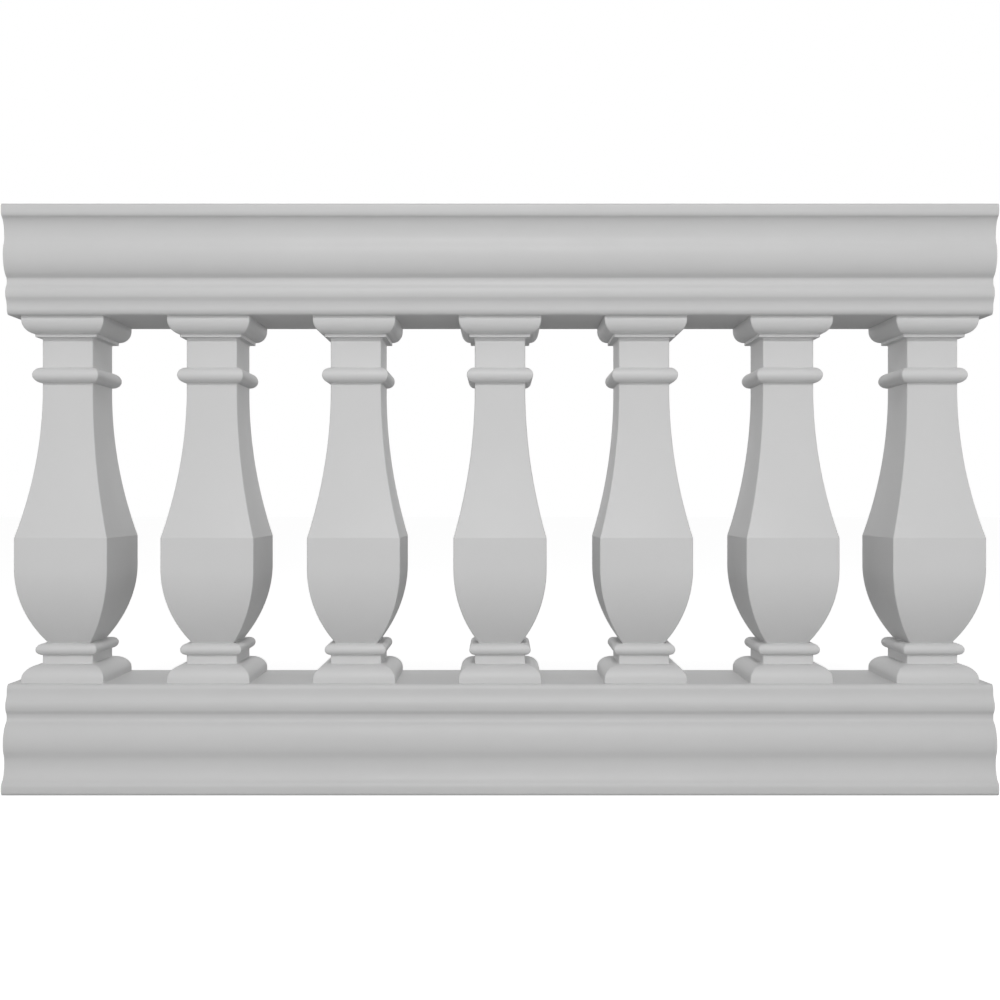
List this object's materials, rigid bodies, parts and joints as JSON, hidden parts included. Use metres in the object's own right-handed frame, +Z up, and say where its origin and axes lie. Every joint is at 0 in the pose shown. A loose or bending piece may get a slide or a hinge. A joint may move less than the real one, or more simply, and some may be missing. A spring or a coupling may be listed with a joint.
{
  "type": "fiberglass balustrade section",
  "caption": "Classical balustrade section: moulded hollow top and bottom rails with square vase-shaped hollow balusters held between them by tie rods.",
  "frame": {"origin": "on the floor, under the middle of the section", "axes": "+X along the rails, +Y through the section from front to back, +Z up"},
  "size_m": [1.542, 0.211, 0.916],
  "materials": {
    "gelcoat": "satin light grey gelcoat over glass laminate",
    "galvanized_steel": "dull zinc plated"
  },
  "bodies": {
    "root": {"bottom_rail": "gelcoat", "top_rail": "gelcoat", "handrail_cover": "gelcoat", "bottom_rail_end_left": "gelcoat", "bottom_rail_end_right": "gelcoat", "top_rail_end_left": "gelcoat", "top_rail_end_right": "gelcoat", "baluster_1": "gelcoat", "baluster_2": "gelcoat", "baluster_3": "gelcoat", "baluster_4": "gelcoat", "baluster_5": "gelcoat", "baluster_6": "gelcoat", "baluster_7": "gelcoat", "tie_rod_1": "galvanized_steel", "tie_rod_2": "galvanized_steel", "tie_rod_3": "galvanized_steel", "tie_rod_4": "galvanized_steel", "tie_rod_5": "galvanized_steel", "tie_rod_6": "galvanized_steel", "tie_rod_7": "galvanized_steel"}
  },
  "joints": []
}
